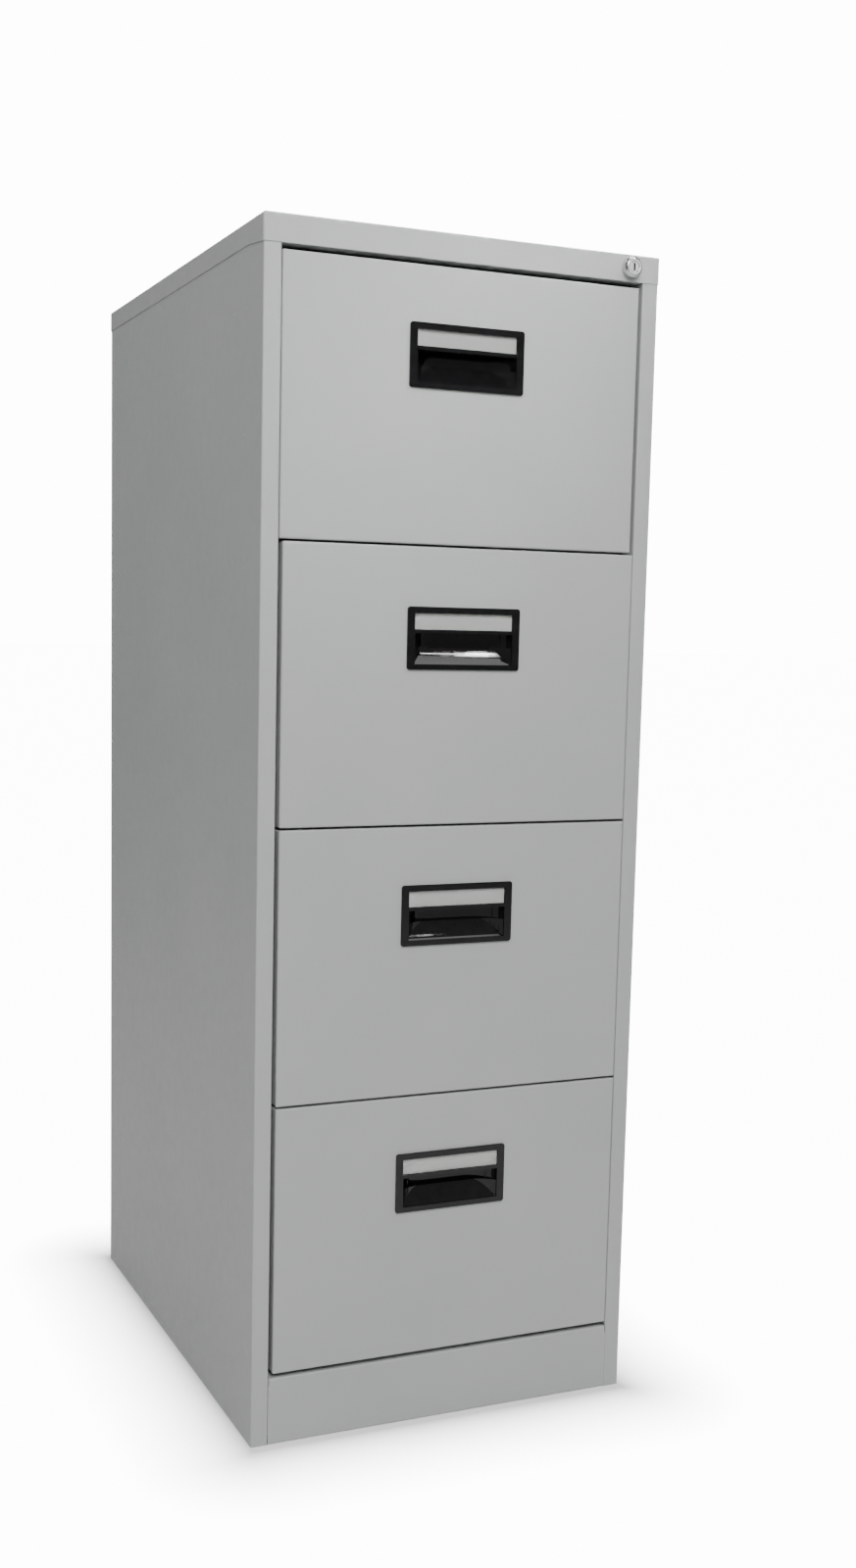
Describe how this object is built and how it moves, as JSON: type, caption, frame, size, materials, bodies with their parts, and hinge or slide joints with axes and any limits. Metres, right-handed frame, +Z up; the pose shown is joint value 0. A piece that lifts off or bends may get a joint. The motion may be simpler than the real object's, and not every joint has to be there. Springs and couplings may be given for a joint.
{
  "type": "metal filing cabinet",
  "caption": "Upright sheet-steel filing cabinet with flush full-extension drawers, recessed black handles with label slots, a top cap, a plinth and a cam lock.",
  "frame": {"origin": "centre of the bounding box's footprint, on the floor", "axes": "+X to the right as seen from the front, where the lock is; -Y out of the front, the way the drawers open; +Z up"},
  "size_m": [0.47, 0.631, 1.321],
  "materials": {
    "painted_steel": "satin",
    "zinc_steel": "satin",
    "bright_steel": "polished",
    "chrome": "polished",
    "black_plastic": "gloss",
    "card": "matte"
  },
  "bodies": {
    "case": {"side_left": "painted_steel", "side_right": "painted_steel", "back_panel": "painted_steel", "top_cap": "painted_steel", "plinth": "painted_steel", "base_pan": "painted_steel", "cross_rails": "painted_steel", "uprights_front": "painted_steel", "uprights_rear": "painted_steel", "slide_outer_members": "zinc_steel", "slide_screws": "zinc_steel", "lock_barrel": "chrome", "lock_nut": "zinc_steel", "lock_bar_guides": "zinc_steel"},
    "lock_plug": {"lock_plug": "chrome", "lock_cam": "zinc_steel", "lock_cam_screw": "zinc_steel"},
    "lock_bar": {"lock_bar": "zinc_steel", "lock_hooks": "zinc_steel"},
    "drawer_1": {"drawer_1_front": "painted_steel", "drawer_1_inner_front": "painted_steel", "drawer_1_tray": "painted_steel", "drawer_1_back": "painted_steel", "drawer_1_file_rails": "zinc_steel", "drawer_1_handle": "black_plastic", "drawer_1_label_card": "card", "drawer_1_runners": "zinc_steel"},
    "slide_1": {"slide_1_mid_members": "zinc_steel", "slide_1_ball_cages": "bright_steel"},
    "drawer_2": {"drawer_2_front": "painted_steel", "drawer_2_inner_front": "painted_steel", "drawer_2_tray": "painted_steel", "drawer_2_back": "painted_steel", "drawer_2_file_rails": "zinc_steel", "drawer_2_handle": "black_plastic", "drawer_2_label_card": "card", "drawer_2_runners": "zinc_steel"},
    "slide_2": {"slide_2_mid_members": "zinc_steel", "slide_2_ball_cages": "bright_steel"},
    "drawer_3": {"drawer_3_front": "painted_steel", "drawer_3_inner_front": "painted_steel", "drawer_3_tray": "painted_steel", "drawer_3_back": "painted_steel", "drawer_3_file_rails": "zinc_steel", "drawer_3_handle": "black_plastic", "drawer_3_label_card": "card", "drawer_3_runners": "zinc_steel"},
    "slide_3": {"slide_3_mid_members": "zinc_steel", "slide_3_ball_cages": "bright_steel"},
    "drawer_4": {"drawer_4_front": "painted_steel", "drawer_4_inner_front": "painted_steel", "drawer_4_tray": "painted_steel", "drawer_4_back": "painted_steel", "drawer_4_file_rails": "zinc_steel", "drawer_4_handle": "black_plastic", "drawer_4_label_card": "card", "drawer_4_runners": "zinc_steel"},
    "slide_4": {"slide_4_mid_members": "zinc_steel", "slide_4_ball_cages": "bright_steel"}
  },
  "joints": [
    {"name": "drawer_1_slide", "type": "slide", "parent": "case", "child": "drawer_1", "axis": [0, -1, 0], "range_m": [0, 0.54]},
    {"name": "slide_1_extend", "type": "slide", "parent": "case", "child": "slide_1", "axis": [0, -1, 0], "range_m": [0, 0.27]},
    {"name": "drawer_2_slide", "type": "slide", "parent": "case", "child": "drawer_2", "axis": [0, -1, 0], "range_m": [0, 0.54]},
    {"name": "slide_2_extend", "type": "slide", "parent": "case", "child": "slide_2", "axis": [0, -1, 0], "range_m": [0, 0.27]},
    {"name": "drawer_3_slide", "type": "slide", "parent": "case", "child": "drawer_3", "axis": [0, -1, 0], "range_m": [0, 0.54]},
    {"name": "slide_3_extend", "type": "slide", "parent": "case", "child": "slide_3", "axis": [0, -1, 0], "range_m": [0, 0.27]},
    {"name": "drawer_4_slide", "type": "slide", "parent": "case", "child": "drawer_4", "axis": [0, -1, 0], "range_m": [0, 0.54]},
    {"name": "slide_4_extend", "type": "slide", "parent": "case", "child": "slide_4", "axis": [0, -1, 0], "range_m": [0, 0.27]},
    {"name": "lock_turn", "type": "hinge", "parent": "case", "child": "lock_plug", "pos_m": [0.197, 0, 1.306], "axis": [0, -1, 0], "range_deg": [0, 90]},
    {"name": "lock_bar_lift", "type": "slide", "parent": "case", "child": "lock_bar", "axis": [0, 0, 1], "range_m": [0, 0.0113]}
  ],
  "couplings": [
    {"joint": "slide_1_extend", "follows": "drawer_1_slide", "ratio": 0.5},
    {"joint": "slide_2_extend", "follows": "drawer_2_slide", "ratio": 0.5},
    {"joint": "slide_3_extend", "follows": "drawer_3_slide", "ratio": 0.5},
    {"joint": "slide_4_extend", "follows": "drawer_4_slide", "ratio": 0.5},
    {"joint": "lock_turn", "follows": "lock_bar_lift", "rad_per_m": 139}
  ]
}
